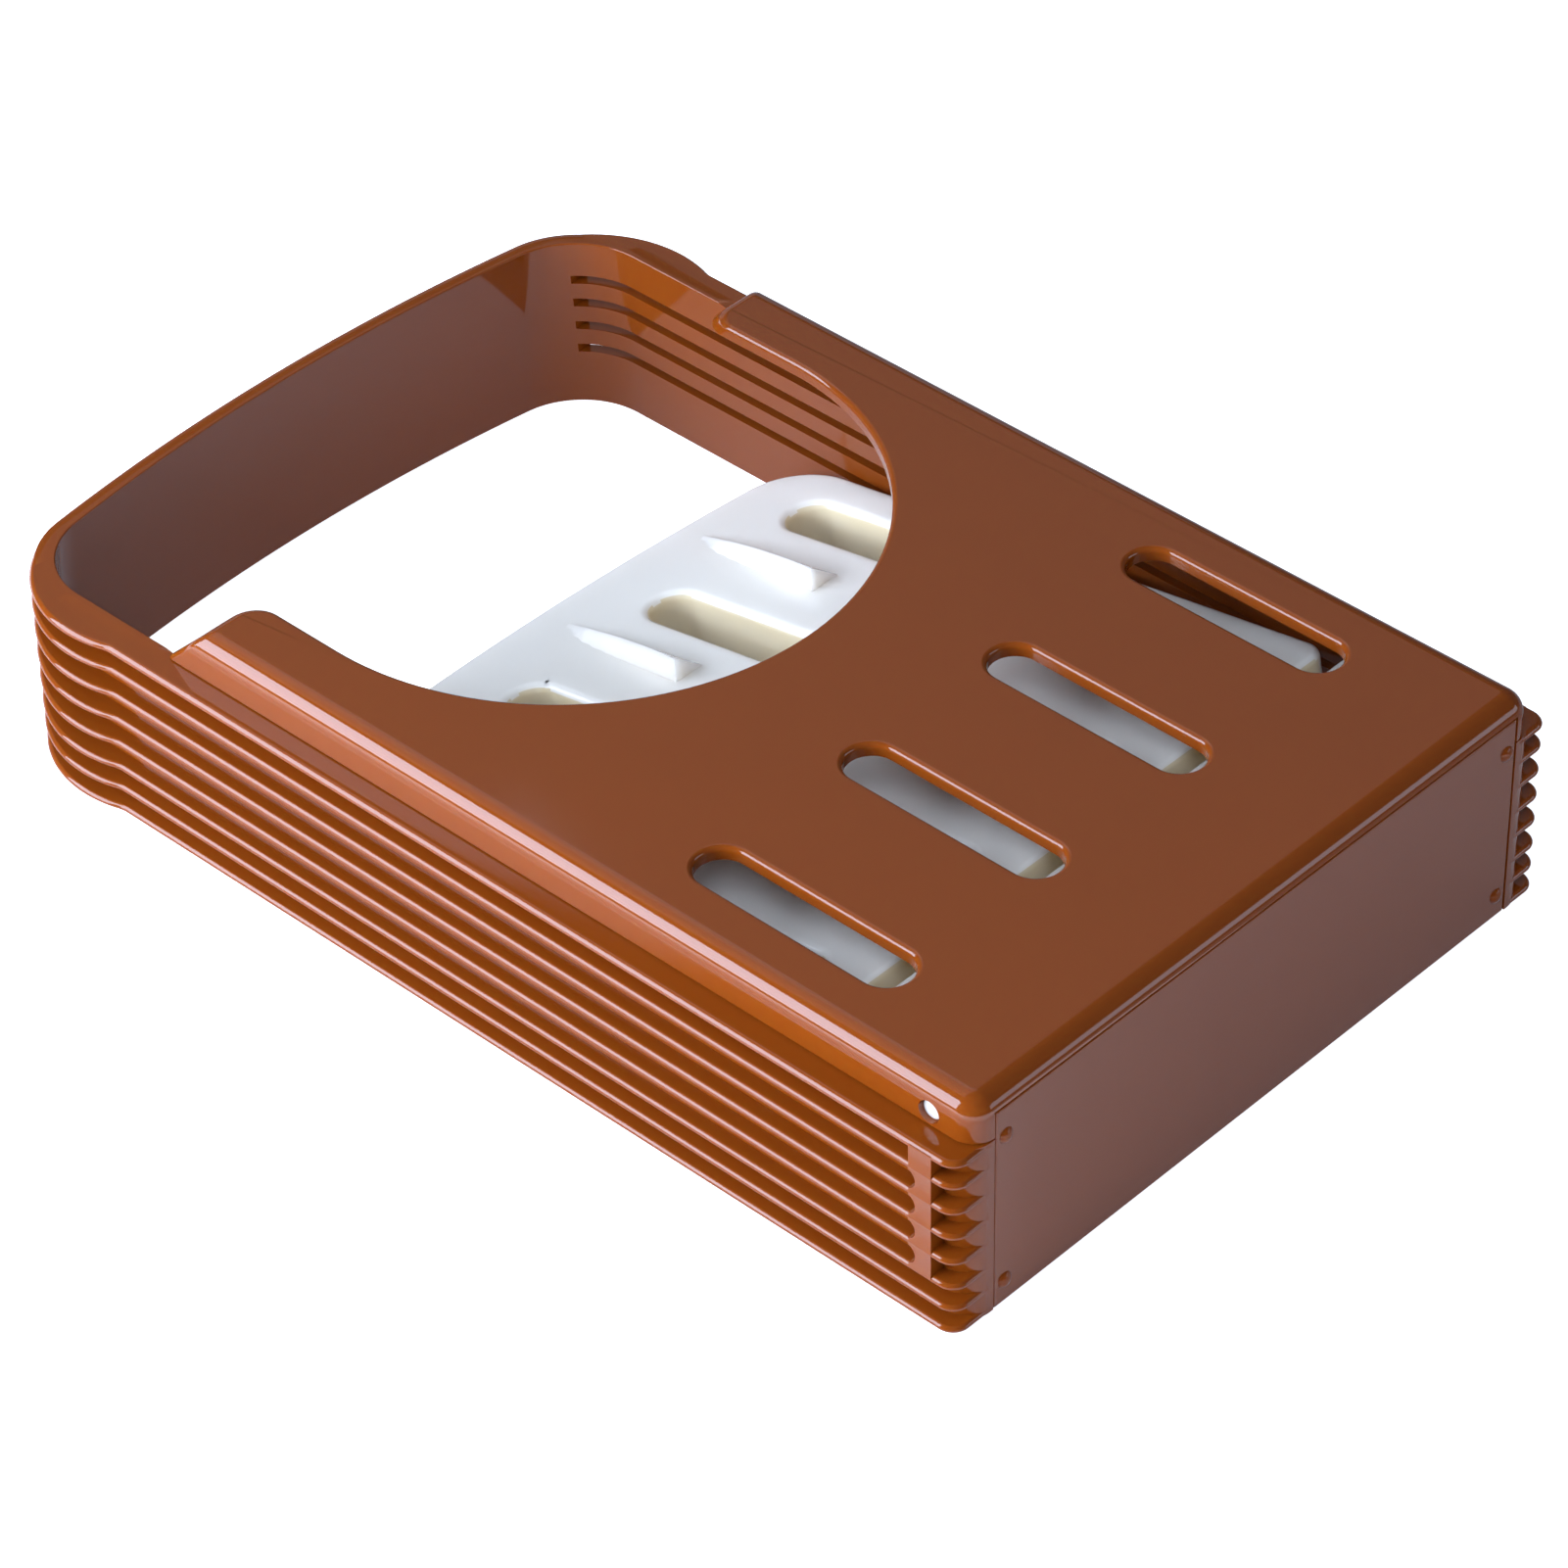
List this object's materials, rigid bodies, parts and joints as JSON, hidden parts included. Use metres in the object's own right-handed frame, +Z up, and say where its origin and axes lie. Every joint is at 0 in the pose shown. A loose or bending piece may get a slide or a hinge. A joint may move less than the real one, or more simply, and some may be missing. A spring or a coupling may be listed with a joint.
{
  "type": "bread slicer guide",
  "caption": "Folding loaf slicing guide: a finned ring with knife slots on both sides, a notched back plate, a base plate, and a slotted rest for the loaf that swings out.",
  "frame": {"origin": "centre of the footprint of the folded guide, on the table", "axes": "+Z up from the table through the back plate, +X out of the base plate on which the guide stands in use, Y across its width"},
  "size_m": [0.2252, 0.1478, 0.0437],
  "materials": {
    "brown_plastic": "polished moulding, soft gloss",
    "white_plastic": "polished moulding, soft gloss"
  },
  "bodies": {
    "root": {"slicing_frame": "brown_plastic", "back_plate": "brown_plastic", "base_plate": "brown_plastic", "base_pin_1": "brown_plastic", "base_pin_2": "brown_plastic", "base_pin_3": "brown_plastic", "base_pin_4": "brown_plastic"},
    "rest": {"bread_rest": "white_plastic"}
  },
  "joints": [
    {"name": "rest_hinge", "type": "hinge", "parent": "root", "child": "rest", "pos_m": [0.10235, 0, 0.0382], "axis": [0, -1, 0], "range_deg": [-10.5, 79.2]}
  ]
}
